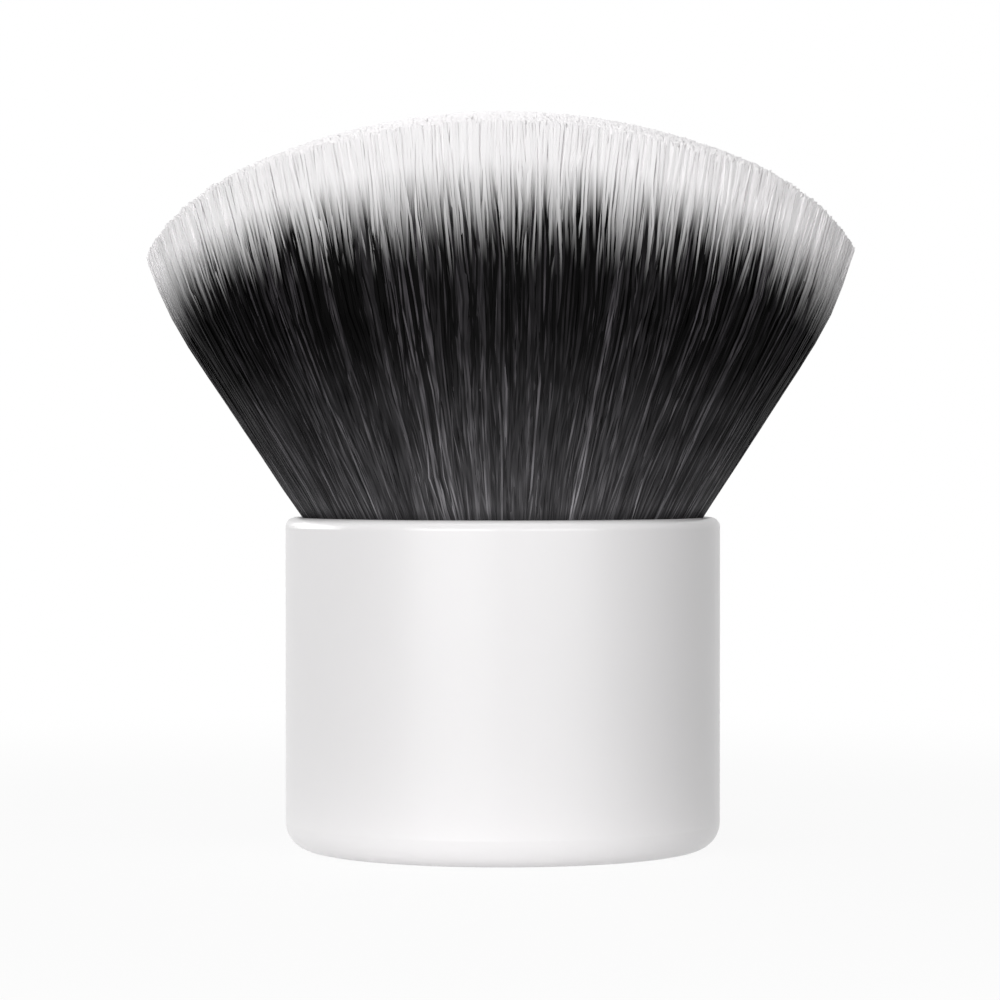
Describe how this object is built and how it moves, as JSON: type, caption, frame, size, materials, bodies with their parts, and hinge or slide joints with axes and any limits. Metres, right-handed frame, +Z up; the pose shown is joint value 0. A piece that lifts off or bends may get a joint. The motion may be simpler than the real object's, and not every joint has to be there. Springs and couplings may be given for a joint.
{
  "type": "kabuki makeup brush",
  "caption": "Kabuki makeup brush: short round white handle cup with a dense, wide oval fan of black fibres that end in white tips under a domed crown.",
  "frame": {"origin": "centre of the handle's base, on the surface that the brush stands on", "axes": "+Z up along the handle's axis to the crown, +X along the wide way of the head, -Y towards the front"},
  "size_m": [0.0652, 0.0426, 0.0675],
  "materials": {
    "white_handle": "satin",
    "core_plastic": "matte",
    "ballast_steel": "satin",
    "plug_wood": "matte",
    "cast_resin": "gloss",
    "binding_thread": "matte",
    "dark_fibre": "satin",
    "tipped_fibre": "satin"
  },
  "bodies": {
    "handle": {"handle_shell": "white_handle", "handle_core": "core_plastic", "ballast_disc": "ballast_steel", "spreader_plug": "plug_wood", "resin_bed": "cast_resin", "root_binding": "binding_thread", "fibre_roots": "dark_fibre", "fibre_waist": "dark_fibre"},
    "bristle_head": {"fibre_head": "tipped_fibre"}
  },
  "joints": [
    {"name": "bristle_lean", "type": "hinge", "parent": "handle", "child": "bristle_head", "pos_m": [0, 0, 0.0305], "axis": [1, 0, 0], "range_deg": [-25, 25], "stiffness_Nm_per_rad": 0.12, "deforming": ["fibre_waist"]}
  ]
}
